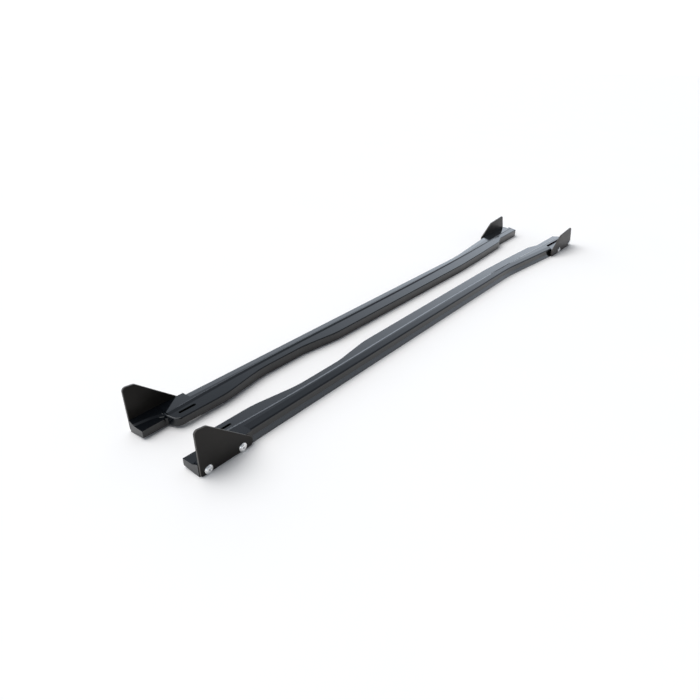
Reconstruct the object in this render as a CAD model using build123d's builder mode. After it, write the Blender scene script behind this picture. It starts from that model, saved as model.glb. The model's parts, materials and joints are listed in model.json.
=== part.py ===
"""A pair of side-sill blades, left and right, each with two bolted end fins.

X runs from the rear end (-X) to the front end (+X), +Y is the left side and +Z is up.
The origin is midway between the blades, midway along them, on the plane they rest on.
Lengths are in millimetres.
"""

from build123d import *
import os

os.makedirs("parts", exist_ok=True)

# ---- driving sizes: blade section ----------------------------------------------------
blade_length = 1788.0
flange_top = 26.4          # height of the flat inner flange, at flange_offset from the middle plane
flange_offset = 80.0
flange_tilt = 2.5          # degrees that the flange falls towards the middle plane
strip_top = 28.1           # height of the outer strip, beside the bead
strip_fall = 1.4           # it falls this much
strip_run = 18.0           # over this width, to the top of the outer face
bead_rise = 1.8            # ridge between the flange and the strip, above flange_top
bead_run = 8.0             # its gentle side falls by bead_fall over this width
bead_fall = 2.7
bead_drop_run = 3.0        # its other side meets the strip within this width
wall = 5.0                 # side and end walls, at their thinnest
deck = 3.0                 # thinnest part of the deck
rib_thickness = 3.0
rib_pitch = 200.0
first_rib = 150.0
inner_edge_radius = 2.5
outer_edge_radius = 4.0
foot_height = 1.5          # upright foot of the outer face
knee_height = 12.0         # above the foot the face leans in to this height
knee_inset = 4.5
edge_inset = 6.0           # and less from there to its top edge

# ---- driving sizes: plan shape, stations from the rear end, offsets from the middle plane
neck_length = 58.0         # narrow rear end, beside the rear fin
neck_inner = 64.0
shoulder_inner = 37.5      # widest part of the flange, just ahead of the neck
waist_inner = 57.5         # shallow waist ahead of it
middle_inner = 42.0        # long straight middle
front_inner = 49.0         # flange edge where the blade flares outwards
tail_inner = 77.0          # flange edge at the front end
outer_face = 108.0         # outer face along the middle, and where the rear fin bolts on
flare_depth = 32.5         # the front fin's seat stands this much further out
flare_length = 306.0
flare_radius = 800.0
front_seat_length = 182.0
front_slant = 23.0         # the front end's inner corner lies this much behind the outer one
lean_start = 128.0         # the outer face starts to lean in here, ahead of the rear fin

ledge_top = 20.5           # ledge beside the rear fin
landing_top = 23.0         # landing behind the front fin
underside_rise = 5.0       # the flange's skirt is this high off the ground at the rear end
underside_run = 1150.0     # and comes down to it this far ahead

slot_length = 42.0
slot_width = 7.0
slot_station = 100.0
slot_offset = 55.5

# ---- driving sizes: fins and fasteners -------------------------------------------------
fin_thickness = 5.0
fin_lift = 0.8             # the fins end this much above the ground
fin_inset = 1.0            # and this much inside the blade's ends
fin_edge = 0.5             # chamfer round each fin
rear_fin_length = 122.0
rear_fin_height = 100.8
rear_fin_top = 26.5        # length of its top edge
front_fin_length = 202.0
front_fin_height = 73.5
front_fin_top = 103.0      # length of its top edge
front_fin_lean = 22.0      # its front edge leans back this much

rear_screw_stations = (18.0, 98.0)
rear_screw_room = 1.8      # between the inner washers and the deck above them
front_screw_setbacks = (130.5, 22.0)               # from the front end
front_screw_room = 0.5
thread = 6.0
hole_clearance = 0.4       # on the diameter, through everything but the nut
nut_clearance = 0.1
washer_outside = 18.0
washer_thickness = 1.6
flange_outside = 15.5      # flange under the screw's round head
flange_thickness = 0.8
head_outside = 12.5
head_height = 2.4
socket_flats = 4.0
socket_depth = 1.6
thread_end = 2.5           # thread standing out of the nut
inner_washer_outside = 12.0
inner_washer_thickness = 1.6
nut_flats = 10.0
nut_height = 6.0
nut_collar = 1.2           # round collar of the locking nut

# ---- heights and sizes worked out from them --------------------------------------------
rear_end = -blade_length / 2
front_seat = outer_face + flare_depth
front_seat_start = blade_length - front_seat_length
flare_start = front_seat_start - flare_length
last_rib = front_seat_start - 56
rib_spaces = round((last_rib - first_rib) / rib_pitch)
ribs = [first_rib + n * (last_rib - first_rib) / rib_spaces for n in range(rib_spaces + 1)]
cavity_top = min(landing_top, ledge_top) - deck
washer_top = cavity_top - inner_washer_outside / 2
rear_screws = [(s, washer_top - rear_screw_room) for s in rear_screw_stations]
front_screws = [(blade_length - s, washer_top - front_screw_room) for s in front_screw_setbacks]
hole = thread + hole_clearance
over = 10.0                # how far cutting shapes run past the blade


def at(station, offset):
    """Plan point of a station from the rear end and an offset from the middle plane."""
    return (rear_end + station, offset)


def cross_section(station, offset=0.0, height=0.0):
    """Plane across the blade, with its own x along +Y and its own y up."""
    return Plane(origin=(*at(station, offset), height), x_dir=(0, 1, 0), z_dir=(1, 0, 0))


def runs_inside(edge):
    """True for an edge that runs along the blade on the inner side of the crease."""
    return edge.center().Y < flange_offset - 2 and edge.bounding_box().size.X > 1


# ---- plan outline: station, offset and corner radius -----------------------------------
inner_points = (
    (0, neck_inner, 0),
    (neck_length, neck_inner + 2, 5),
    (neck_length + 6, shoulder_inner, 15),
    (190, shoulder_inner, 260),
    (305, waist_inner, 300),
    (450, waist_inner, 260),
    (562, middle_inner, 320),
    (blade_length - 548, middle_inner, 500),
    (blade_length - 378, front_inner, 300),
    (blade_length - 220, front_inner + 9, 60),
    (blade_length - 178, tail_inner - 3, 60),
    (blade_length - front_slant, tail_inner, 0),
)
outer_points = (
    (blade_length, front_seat, 0),
    (front_seat_start, front_seat, 4),
    (flare_start, outer_face, flare_radius),
    (0, outer_face, 0),
)
crease_points = (
    (neck_length + 4, 70), (172, 76), (612, 80), (blade_length - 558, 83), (blade_length - 238, 93.5),
    (blade_length - 88, 100.5), (blade_length + over, 105),
)

# lip beside the rear fin: station, inset of its foot, width and rise of its first slope, crest above the strip
lip_sections = (
    (0, 17.0, 5.0, 2.1, -0.6),
    (33, 22.0, 5.0, 3.0, -0.5),
    (50, 28.5, 4.5, 3.8, -0.2),
    (neck_length + 5, 39.0, 4.0, 5.1, 0.1),
)


def draw_outline():
    points = inner_points + outer_points
    FilletPolyline([at(s, y) for s, y, r in points], radius=[r for s, y, r in points], close=True)


with BuildLine() as crease:
    Spline([at(s, y) for s, y in crease_points])

with BuildLine() as lean_path:
    FilletPolyline(at(lean_start, outer_face), at(flare_start, outer_face), at(front_seat_start, front_seat),
                   radius=flare_radius)

flange_plane = Plane((0, flange_offset, flange_top)).rotated((flange_tilt, 0, 0))
front_outer = Vector(*at(blade_length, front_seat), 0)
front_inner_corner = Vector(*at(blade_length - front_slant, tail_inner), 0)
front_plane = Plane(origin=front_outer, z_dir=(front_outer - front_inner_corner).cross(Vector(0, 0, 1)))

# ---- left blade ------------------------------------------------------------------------
with BuildPart() as left_blade:
    with BuildSketch():
        with BuildLine():
            draw_outline()
        make_face()
    extrude(amount=strip_top)

    # tilted flange, as far out as the crease, with its inner edge rounded
    with BuildSketch(flange_plane):
        with BuildLine():
            edge = Spline([(rear_end + s, y - flange_offset) for s, y in crease_points])
            Polyline(edge @ 1, (over - rear_end, -flange_offset), (rear_end - over, -flange_offset),
                     (rear_end - over, front_seat), (rear_end + crease_points[0][0], front_seat), edge @ 0)
        make_face()
    extrude(amount=over, mode=Mode.SUBTRACT)
    flange = left_blade.faces().filter_by(lambda face: face.normal_at().Z > 0.9).sort_by(Axis.Z)[0]
    fillet(flange.edges().filter_by(runs_inside), inner_edge_radius)

    # leaning outer face, rounded over into the falling strip
    with BuildSketch(cross_section(lean_start, outer_face)):
        with BuildLine():
            FilletPolyline((0, foot_height), (-knee_inset, knee_height), (-edge_inset, strip_top - strip_fall),
                           (-edge_inset - 1.1 * strip_run, strip_top + 0.1 * strip_fall),
                           (-edge_inset - 1.1 * strip_run, strip_top + over), (over, strip_top + over),
                           (over, foot_height), radius=(0, 0, outer_edge_radius, 0, 0, 0, 0), close=True)
        make_face()
    sweep(path=lean_path.line, mode=Mode.SUBTRACT)

    # raised bead along the crease
    with BuildSketch(cross_section(*crease_points[0])):
        with BuildLine():
            Polyline((-bead_run, flange_top + bead_rise - bead_fall), (-0.5, flange_top + bead_rise),
                     (0.5, flange_top + bead_rise), (bead_drop_run, strip_top - 0.5),
                     (bead_drop_run, cavity_top + deck), (-bead_run, cavity_top + deck), close=True)
        make_face()
    sweep(path=crease.line)
    split(bisect_by=front_plane, keep=Keep.BOTTOM)

    # lower ledge beside the rear fin
    with BuildSketch(Plane.XY.offset(ledge_top)):
        with Locations(at((neck_length - over) / 2, (neck_inner + outer_face) / 2)):
            Rectangle(neck_length + over, outer_face - neck_inner + 2 * over)
    extrude(amount=flange_top, mode=Mode.SUBTRACT)

    # lip rising from the ledge to the rear fin
    for station, foot, first_run, first_rise, crest in lip_sections:
        with BuildSketch(cross_section(station, outer_face)):
            with BuildLine():
                Polyline((-foot, cavity_top + 1), (0, cavity_top + 1), (0, strip_top + crest),
                         (first_run - foot, ledge_top + first_rise), (-foot, ledge_top), close=True)
            make_face()
    loft()

    # lower landing behind the front fin
    with BuildSketch(Plane.XY.offset(landing_top)):
        with BuildLine():
            FilletPolyline(at(front_seat_start - 14, front_seat + over),
                           at(front_seat_start + 16, front_seat - 33.5),
                           at(blade_length + over, front_seat - 26.5),
                           at(blade_length + over, front_seat + over), radius=(0, 16, 0, 0), close=True)
        make_face()
    extrude(amount=flange_top, mode=Mode.SUBTRACT)

    # hollow from beneath, kept clear of the leaning face and crossed by ribs
    with BuildSketch():
        with BuildLine():
            draw_outline()
        make_face()
        offset(amount=-wall)
        with BuildLine():
            Polyline(at(lean_start - wall, front_seat + over),
                     at(lean_start - wall, outer_face - edge_inset - wall),
                     at(flare_start, outer_face - edge_inset - wall),
                     at(front_seat_start, front_seat - edge_inset - wall),
                     at(front_seat_start, front_seat + over), close=True)
        make_face(mode=Mode.SUBTRACT)
        with Locations([at(station, outer_face) for station in ribs]):
            Rectangle(rib_thickness, 2 * outer_face, mode=Mode.SUBTRACT)
    extrude(amount=cavity_top, mode=Mode.SUBTRACT)

    # slot through the flange
    with BuildSketch():
        with Locations(at(slot_station, slot_offset)):
            SlotOverall(slot_length, slot_width)
    extrude(amount=flange_top + over, mode=Mode.SUBTRACT)

    # screw holes through the outer wall
    for seat, screws in ((outer_face, rear_screws), (front_seat, front_screws)):
        for station, height in screws:
            with BuildSketch(Plane(origin=(rear_end + station, seat + 1, height), z_dir=(0, 1, 0))):
                Circle(hole / 2)
            extrude(amount=-(wall + 3), mode=Mode.SUBTRACT)

    # the flange's skirt rises clear of the ground towards the rear
    rear_corner = Vector(*at(0, neck_inner), underside_rise)
    rear_outer = Vector(*at(0, outer_face), 0)
    front_corner = Vector(*at(underside_run, middle_inner), 0)
    upwards = (rear_corner - rear_outer).cross(front_corner - rear_outer)
    split(bisect_by=Plane(origin=rear_outer, z_dir=upwards), keep=Keep.TOP)

left_blade.part.label = "left_blade"
export_step(left_blade.part, "parts/left_blade.step")

# ---- right blade -----------------------------------------------------------------------
with BuildPart() as right_blade:
    mirror(left_blade.part, about=Plane.XZ)
right_blade.part.label = "right_blade"
export_step(right_blade.part, "parts/right_blade.step")

# ---- fins: outline points as distance along the blade, height and corner radius ----------
rear_fin_outline = (
    (fin_inset, fin_lift, 4),
    (fin_inset, rear_fin_height, 8),
    (fin_inset + rear_fin_top, rear_fin_height - 2.8, 12),
    (fin_inset + rear_fin_length, 19, 14),
    (fin_inset + rear_fin_length, fin_lift, 8),
)
front_fin_end = blade_length - fin_inset
front_fin_outline = (
    (front_fin_end - front_fin_length + 7, fin_lift, 8),
    (front_fin_end - front_fin_length, 22, 8),
    (front_fin_end - front_fin_lean - front_fin_top, front_fin_height - 8, 7),
    (front_fin_end - front_fin_lean, front_fin_height, 9),
    (front_fin_end, fin_lift, 4),
)


def fin(seat, outline, screws):
    """A flat plate standing on a seat, with rounded corners and a hole for each screw."""
    with BuildPart() as plate:
        with BuildSketch(Plane(origin=(rear_end, seat, 0), x_dir=(1, 0, 0), z_dir=(0, -1, 0))):
            with BuildLine():
                FilletPolyline([(s, z) for s, z, r in outline], radius=[r for s, z, r in outline], close=True)
            make_face()
            with Locations(*screws):
                Circle(hole / 2, mode=Mode.SUBTRACT)
        extrude(amount=-fin_thickness)
        for face in (plate.faces().sort_by(Axis.Y)[0], plate.faces().sort_by(Axis.Y)[-1]):
            chamfer(face.outer_wire().edges(), fin_edge)
    return plate.part


# ---- fasteners, each on a base plane whose normal points outwards -------------------------
def screw(base, length):
    """Low round head on a flange, with a hex socket and a plain shank."""
    with BuildPart() as body:
        with BuildSketch(base):
            Circle(flange_outside / 2)
        extrude(amount=flange_thickness)
        with BuildSketch(base.offset(flange_thickness)):
            Circle(head_outside / 2)
        extrude(amount=head_height - flange_thickness)
        fillet(body.faces().sort_by(Axis.Y)[-1].edges(), (head_height - flange_thickness) * 0.8)
        with BuildSketch(base.offset(head_height)):
            RegularPolygon(socket_flats / 2, 6, major_radius=False)
        extrude(amount=-socket_depth, mode=Mode.SUBTRACT)
        with BuildSketch(base):
            Circle(thread / 2)
        extrude(amount=-length)
        chamfer(body.faces().sort_by(Axis.Y)[0].edges(), 0.6)
    return body.part


def washer(base, outside, thickness):
    """Flat ring."""
    with BuildPart() as ring:
        with BuildSketch(base):
            Circle(outside / 2)
            Circle(hole / 2, mode=Mode.SUBTRACT)
        extrude(amount=thickness)
        chamfer(ring.faces().sort_by(Axis.Y)[-1].outer_wire().edges(), 0.3)
    return ring.part


def locking_nut(base):
    """Hexagon nut with a round collar, on the inner side of its base plane."""
    with BuildPart() as body:
        with BuildSketch(base):
            RegularPolygon(nut_flats / 2, 6, major_radius=False)
        extrude(amount=-(nut_height - nut_collar))
        with BuildSketch(base.offset(-(nut_height - nut_collar))):
            Circle(nut_flats / 2 - 0.6)
        extrude(amount=-nut_collar)
        chamfer(body.faces().sort_by(Axis.Y)[0].edges(), 0.4)
        with BuildSketch(base):
            Circle((thread + nut_clearance) / 2)
        extrude(amount=-nut_height, mode=Mode.SUBTRACT)
    return body.part


def save(name, pieces):
    """Write one node, made of one or more separate pieces."""
    with BuildPart() as node:
        add(pieces)
    node.part.label = name
    export_step(node.part, f"parts/{name}.step")


# ---- both ends, both sides ---------------------------------------------------------------
for end, seat, outline, screws in (
    ("rear", outer_face, rear_fin_outline, rear_screws),
    ("front", front_seat, front_fin_outline, front_screws),
):
    length = washer_thickness + fin_thickness + wall + inner_washer_thickness + nut_height + thread_end
    outer_planes = [Plane(origin=(rear_end + s, seat + fin_thickness, z), z_dir=(0, 1, 0)) for s, z in screws]
    nut_planes = [plane.offset(-fin_thickness - wall - inner_washer_thickness) for plane in outer_planes]
    groups = {
        "fin": [fin(seat, outline, screws)],
        "fin_screws": [screw(plane.offset(washer_thickness), length) for plane in outer_planes],
        "fin_outer_washers": [washer(plane, washer_outside, washer_thickness) for plane in outer_planes],
        "fin_inner_washers": [
            washer(plane, inner_washer_outside, inner_washer_thickness) for plane in nut_planes
        ],
        "fin_locking_nuts": [locking_nut(plane) for plane in nut_planes],
    }
    for part_name, pieces in groups.items():
        save(f"left_{end}_{part_name}", pieces)
        save(f"right_{end}_{part_name}", [piece.mirror(Plane.XZ) for piece in pieces])
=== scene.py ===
"""Looks for a pair of gloss black side sill blades with bolted end fins.

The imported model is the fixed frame, in metres: X along the blades from the rear end (tall fins)
to the front end, +Y to the left blade, Z up from the floor.
"""

import json
import math

import bpy
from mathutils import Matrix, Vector

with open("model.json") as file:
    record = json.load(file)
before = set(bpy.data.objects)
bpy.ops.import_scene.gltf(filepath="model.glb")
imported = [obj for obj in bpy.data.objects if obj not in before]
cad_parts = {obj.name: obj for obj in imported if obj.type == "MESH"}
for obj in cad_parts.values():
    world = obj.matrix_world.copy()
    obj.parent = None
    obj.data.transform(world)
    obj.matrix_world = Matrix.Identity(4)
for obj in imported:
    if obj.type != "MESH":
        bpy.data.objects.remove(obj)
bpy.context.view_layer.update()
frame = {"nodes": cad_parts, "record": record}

# ---- camera -----------------------------------------------------------------------------
camera_place = Vector((-1.3115, -0.7869, 0.6535))
camera_heading = math.radians(38.64)      # turned from +X towards +Y
camera_pitch = math.radians(27.98)        # below the horizon
camera_roll = math.radians(0.19)
camera_lens = 28.08                       # mm, on a 36 mm sensor

# ---- studio -----------------------------------------------------------------------------
key_from = Vector((-0.25, 0.60, 1.25))    # direction that the light comes from
key_spread = math.radians(60)
key_strength = 2.15

# heights and sides in the sky are the Z and Y of a direction one unit long
sky_colour = (0.89, 0.98, 1.10, 1.0)
horizon_strength = 1.3                    # all round, up to horizon_top
horizon_top = 0.06
sky_bottom = 0.20                         # the sky alone counts from here up
low_sky_strength = 1.80                   # it fades from this at sky_bottom
high_sky_strength = 0.46                  # to this at high_sky
high_sky = 0.60
dim_side = -0.25                          # further right than this it has dim_share of its strength
full_side = 0.30                          # and further left than this all of it
dim_share = 0.35

floor_size = 60.0

# ---- surface detail: scales are features per metre, and depths are metres -----------------
cloud_scale = 14.0
ripple_scale = 60.0
scratch_scale = (30.0, 1500.0, 1500.0)    # long scratches along X
plating_scale = 160.0
grit_scale = 2500.0
floor_patch_scale = 3.0
ripple_depth = 0.0002
grit_depth = 0.00002
scratch_roughness = 0.14                  # added by the strongest scratches


# ---- node helpers -----------------------------------------------------------------------
class Nodes:
    """A material's node tree, with short calls to add and join nodes."""

    def __init__(self, tree):
        self.tree = tree
        tree.nodes.clear()

    def add(self, kind, **settings):
        node = self.tree.nodes.new(kind)
        for key, value in settings.items():
            setattr(node, key, value)
        return node

    def join(self, source, target):
        self.tree.links.new(source, target)


def new_material(name):
    material = bpy.data.materials.new(name)
    material.use_nodes = True
    return material, Nodes(material.node_tree)


def noise(nodes, place, scale, detail=4.0, roughness=0.5):
    """Noise over object coordinates, with the scale in features per metre."""
    node = nodes.add("ShaderNodeTexNoise")
    node.inputs["Scale"].default_value = scale
    node.inputs["Detail"].default_value = detail
    node.inputs["Roughness"].default_value = roughness
    nodes.join(place, node.inputs["Vector"])
    return node.outputs["Fac"]


def ramp(nodes, source, low, high, to_low, to_high):
    """Map a value from one range to another, clamped."""
    node = nodes.add("ShaderNodeMapRange", clamp=True)
    for name, value in (("From Min", low), ("From Max", high), ("To Min", to_low), ("To Max", to_high)):
        node.inputs[name].default_value = value
    nodes.join(source, node.inputs["Value"])
    return node.outputs["Result"]


def mix_colour(nodes, factor, first, second):
    node = nodes.add("ShaderNodeMix", data_type="RGBA")
    nodes.join(factor, node.inputs["Factor"])
    node.inputs["A"].default_value = (*first, 1)
    node.inputs["B"].default_value = (*second, 1)
    return node.outputs["Result"]


def add_values(nodes, first, second):
    node = nodes.add("ShaderNodeMath", operation="ADD")
    nodes.join(first, node.inputs[0])
    nodes.join(second, node.inputs[1])
    return node.outputs[0]


def bump(nodes, height, distance, strength=1.0, under=None):
    node = nodes.add("ShaderNodeBump")
    node.inputs["Strength"].default_value = strength
    node.inputs["Distance"].default_value = distance
    nodes.join(height, node.inputs["Height"])
    if under is not None:
        nodes.join(under, node.inputs["Normal"])
    return node.outputs["Normal"]


def stretched(nodes, place, scale):
    """Object coordinates with their own scale along each axis."""
    node = nodes.add("ShaderNodeMapping")
    node.inputs["Scale"].default_value = scale
    nodes.join(place, node.inputs["Vector"])
    return node.outputs["Vector"]


# ---- materials --------------------------------------------------------------------------
def painted_sheen_share(nodes, most):
    """How far a face takes the painted sheen colour, which stands in for light falling on tops, ends and
    rims: nothing where it looks sideways, and most elsewhere.
    """
    facing = nodes.add("ShaderNodeSeparateXYZ")
    nodes.join(nodes.add("ShaderNodeTexCoord").outputs["Normal"], facing.inputs[0])
    sideways = nodes.add("ShaderNodeMath", operation="ABSOLUTE")
    nodes.join(facing.outputs["Y"], sideways.inputs[0])
    return ramp(nodes, sideways.outputs[0], 0.6, 0.9, most, 0.0)


def plastic(name, dark, light, painted_sheen, most_painted_sheen, roughness, specular, grain_size, grain_depth):
    """Black plastic: cloudy gloss, fine grain, faint dull scratches along the part, and a painted sheen
    colour on the faces that do not look sideways.
    """
    material, nodes = new_material(name)
    place = nodes.add("ShaderNodeTexCoord").outputs["Object"]
    shader = nodes.add("ShaderNodeBsdfPrincipled")
    shader.inputs["IOR"].default_value = 1.5
    shader.inputs["Specular IOR Level"].default_value = specular

    clouds = noise(nodes, place, cloud_scale, detail=5.0, roughness=0.6)
    colour = mix_colour(nodes, ramp(nodes, clouds, 0.35, 0.65, 0.0, 1.0), dark, light)
    # painted sheen: faces that look up or along the part take this colour instead of the cloudy black,
    # standing in for light on tops, ends and rims
    painted_sheen_mix = nodes.add("ShaderNodeMix", data_type="RGBA")
    nodes.join(painted_sheen_share(nodes, most_painted_sheen), painted_sheen_mix.inputs["Factor"])
    nodes.join(colour, painted_sheen_mix.inputs["A"])
    painted_sheen_mix.inputs["B"].default_value = (*painted_sheen, 1)
    nodes.join(painted_sheen_mix.outputs["Result"], shader.inputs["Base Color"])

    scratches = noise(nodes, stretched(nodes, place, scratch_scale), 1.0, detail=2.0)
    scratch_share = ramp(nodes, scratches, 0.62, 0.78, 0.0, scratch_roughness)
    cloud_roughness = ramp(nodes, clouds, 0.3, 0.7, roughness - 0.03, roughness + 0.04)
    nodes.join(add_values(nodes, cloud_roughness, scratch_share), shader.inputs["Roughness"])

    grain = noise(nodes, place, 1.0 / grain_size, detail=2.0)
    ripple = noise(nodes, place, ripple_scale, detail=1.0)
    normal = bump(nodes, ripple, ripple_depth, 0.15)
    nodes.join(bump(nodes, grain, grain_depth, 0.5, under=normal), shader.inputs["Normal"])

    out = nodes.add("ShaderNodeOutputMaterial")
    nodes.join(shader.outputs["BSDF"], out.inputs["Surface"])
    return material


def zinc(name, dark, light, low, high):
    """Zinc plated steel: cloudy plating whose gloss varies from low to high roughness, and fine grit."""
    material, nodes = new_material(name)
    place = nodes.add("ShaderNodeTexCoord").outputs["Object"]
    shader = nodes.add("ShaderNodeBsdfPrincipled")
    shader.inputs["Metallic"].default_value = 1.0

    clouds = noise(nodes, place, plating_scale, detail=4.0, roughness=0.6)
    nodes.join(mix_colour(nodes, clouds, dark, light), shader.inputs["Base Color"])
    nodes.join(ramp(nodes, clouds, 0.3, 0.7, low, high), shader.inputs["Roughness"])
    grit = noise(nodes, place, grit_scale, detail=2.0)
    nodes.join(bump(nodes, grit, grit_depth, 0.4), shader.inputs["Normal"])

    out = nodes.add("ShaderNodeOutputMaterial")
    nodes.join(shader.outputs["BSDF"], out.inputs["Surface"])
    return material


def floor_paint():
    """Plain pale studio floor, very slightly uneven."""
    material, nodes = new_material("studio_floor")
    place = nodes.add("ShaderNodeTexCoord").outputs["Object"]
    shader = nodes.add("ShaderNodeBsdfPrincipled")
    shader.inputs["Roughness"].default_value = 0.75
    shader.inputs["Specular IOR Level"].default_value = 0.2
    patches = noise(nodes, place, floor_patch_scale)
    nodes.join(mix_colour(nodes, patches, (0.97, 0.94, 0.91), (1.0, 0.97, 0.94)), shader.inputs["Base Color"])
    out = nodes.add("ShaderNodeOutputMaterial")
    nodes.join(shader.outputs["BSDF"], out.inputs["Surface"])
    return material


# the third colour and the share after it are painted sheen: a cool tint on the blades' tops and ends, a
# lighter grey on the fins' rims
blade_plastic = plastic("blade_plastic", (0.0055, 0.0055, 0.0055), (0.009, 0.009, 0.009),
                        (0.005, 0.007, 0.010), 0.7, 0.08, 0.5, 0.0006, 0.00002)
fin_plastic = plastic("fin_plastic", (0.007, 0.0055, 0.0045), (0.011, 0.009, 0.007),
                      (0.060, 0.054, 0.048), 1.0, 0.36, 0.22, 0.0008, 0.00004)
bright_zinc = zinc("bright_zinc", (0.95, 0.95, 0.94), (1.0, 1.0, 1.0), 0.16, 0.30)
dull_zinc = zinc("dull_zinc", (0.46, 0.46, 0.44), (0.62, 0.62, 0.60), 0.32, 0.48)

by_slot = {
    "blade_plastic": blade_plastic,
    "fin_plastic": fin_plastic,
    "bright_zinc": bright_zinc,
    "dull_zinc": dull_zinc,
}
for part in frame["record"]["subparts"]:
    mesh = frame["nodes"][part["node"]].data
    mesh.materials.clear()
    mesh.materials.append(by_slot[part["material_slot"]])


# ---- stage ------------------------------------------------------------------------------
def make_floor():
    mesh = bpy.data.meshes.new("floor")
    half = floor_size / 2
    corners = [(-half, -half, 0), (half, -half, 0), (half, half, 0), (-half, half, 0)]
    mesh.from_pydata(corners, [], [(0, 1, 2, 3)])
    mesh.materials.append(floor_paint())
    floor = bpy.data.objects.new("floor", mesh)
    bpy.context.scene.collection.objects.link(floor)


def make_world():
    """Cool white surroundings, dim on the right side, brighter low down and all round the horizon."""
    world = bpy.data.worlds.new("studio")
    bpy.context.scene.world = world
    world.use_nodes = True
    nodes = Nodes(world.node_tree)
    direction = nodes.add("ShaderNodeTexCoord").outputs["Generated"]
    split = nodes.add("ShaderNodeSeparateXYZ")
    nodes.join(direction, split.inputs[0])
    height_strength = ramp(nodes, split.outputs["Z"], sky_bottom, high_sky,
                           low_sky_strength, high_sky_strength)
    side_share = ramp(nodes, split.outputs["Y"], dim_side, full_side, dim_share, 1.0)
    sky = nodes.add("ShaderNodeMath", operation="MULTIPLY")
    nodes.join(height_strength, sky.inputs[0])
    nodes.join(side_share, sky.inputs[1])
    strength = nodes.add("ShaderNodeMix", data_type="FLOAT")
    nodes.join(ramp(nodes, split.outputs["Z"], horizon_top, sky_bottom, 0.0, 1.0), strength.inputs["Factor"])
    strength.inputs["A"].default_value = horizon_strength
    nodes.join(sky.outputs[0], strength.inputs["B"])
    background = nodes.add("ShaderNodeBackground")
    background.inputs["Color"].default_value = sky_colour
    nodes.join(strength.outputs["Result"], background.inputs["Strength"])
    out = nodes.add("ShaderNodeOutputWorld")
    nodes.join(background.outputs[0], out.inputs["Surface"])


def make_key():
    """Very soft distant light from the left and above, the same all over the floor."""
    light = bpy.data.lights.new("key", "SUN")
    light.angle = key_spread
    light.energy = key_strength
    lamp = bpy.data.objects.new("key", light)
    lamp.rotation_euler = (-key_from).to_track_quat("-Z", "Y").to_euler()
    bpy.context.scene.collection.objects.link(lamp)


def make_camera():
    data = bpy.data.cameras.new("camera")
    data.lens = camera_lens
    data.sensor_width = 36.0
    data.clip_end = 200.0
    camera = bpy.data.objects.new("camera", data)
    camera.location = camera_place
    camera.rotation_euler = (math.pi / 2 - camera_pitch, camera_roll, camera_heading - math.pi / 2)
    bpy.context.scene.collection.objects.link(camera)
    bpy.context.scene.camera = camera


make_floor()
make_world()
make_key()
make_camera()
bpy.context.scene.view_settings.view_transform = "Standard"
